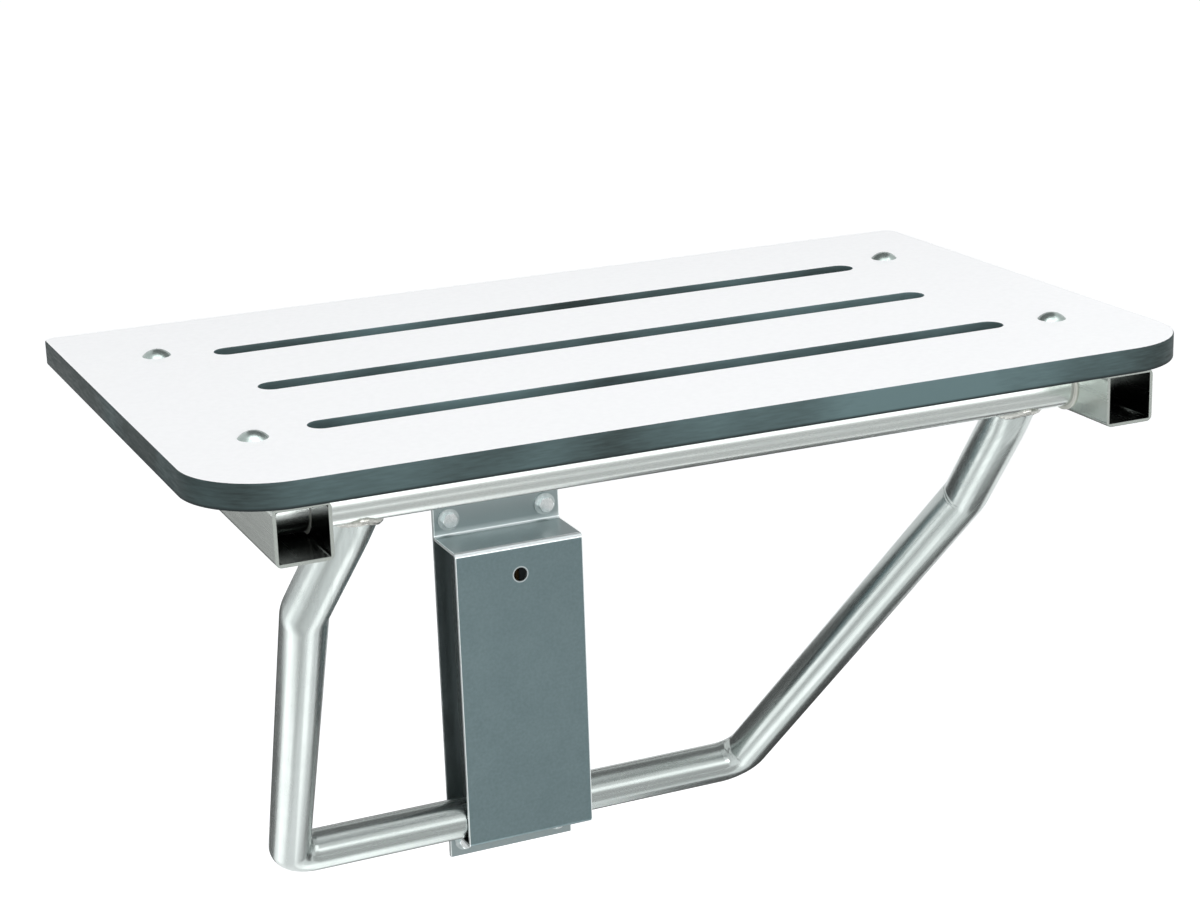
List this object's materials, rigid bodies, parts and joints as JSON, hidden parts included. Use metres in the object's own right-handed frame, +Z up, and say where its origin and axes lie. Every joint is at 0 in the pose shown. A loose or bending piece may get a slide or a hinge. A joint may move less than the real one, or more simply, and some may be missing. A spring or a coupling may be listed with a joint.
{
  "type": "fold down wall seat",
  "caption": "Wall seat that folds up flat: slotted white panel on square tubes, with a bent tube leg whose foot bar slides in a wall guide.",
  "frame": {"origin": "on the wall plane, at the middle of the four screws of the wall guide", "axes": "+Y into the wall, so the seat stands out towards -Y; +X to the sitter-facing viewer's right along the seat's width; +Z up"},
  "size_m": [0.61, 0.42, 0.4265],
  "materials": {
    "laminate": "white satin compact laminate with a dark core at its edges",
    "stainless_tube": "brushed stainless steel",
    "guide_sheet": "dull brushed steel sheet",
    "bracket_steel": "brushed stainless steel plate",
    "fastener": "polished stainless steel",
    "washer": "plain steel washers",
    "nylon": "pale nylon",
    "wear_pad": "brown phenolic",
    "spring": "bronze strip",
    "spigot": "turned stainless steel"
  },
  "bodies": {
    "wall_fixing": {"hinge_bracket_left": "bracket_steel", "hinge_bracket_right": "bracket_steel", "hinge_bolt_left": "fastener", "hinge_bolt_right": "fastener", "hinge_sleeve_left": "spigot", "hinge_sleeve_right": "spigot", "hinge_nuts": "fastener", "hinge_washers": "washer", "guide_bracket": "guide_sheet", "guide_back_plate": "guide_sheet", "wear_pad": "wear_pad", "retaining_spring": "spring", "spring_rivets": "spring", "guide_screws": "fastener", "guide_washers": "washer"},
    "seat": {"seat_panel": "laminate", "frame_tube_left": "stainless_tube", "frame_tube_right": "stainless_tube", "hinge_bushes_left": "nylon", "hinge_bushes_right": "nylon", "leg_bush_left": "nylon", "leg_bush_right": "nylon", "pivot_spigot_left": "spigot", "pivot_spigot_right": "spigot", "seat_bolts": "fastener", "seat_bolt_washers": "washer", "seat_bolt_nuts": "fastener"},
    "leg_frame": {"cross_tube": "stainless_tube", "leg_left": "stainless_tube", "leg_right": "stainless_tube"},
    "slide": {"slide_bar": "stainless_tube"}
  },
  "joints": [
    {"name": "seat_fold", "type": "hinge", "parent": "wall_fixing", "child": "seat", "pos_m": [0, -0.0365, 0.25859], "axis": [-1, 0, 0], "range_deg": [0, 87]},
    {"name": "leg_swing", "type": "hinge", "parent": "seat", "child": "leg_frame", "pos_m": [0, -0.341, 0.25859], "axis": [1, 0, 0], "range_deg": [0, 48.28]},
    {"name": "bar_slide", "type": "slide", "parent": "wall_fixing", "child": "slide", "axis": [0, 0, 1], "range_m": [0, 0.18482]}
  ],
  "couplings": [
    {"joint": "leg_swing", "follows": "seat_fold", "ratio": 0.55495},
    {"joint": "bar_slide", "follows": "seat_fold", "m_per_rad": 0.12171}
  ]
}
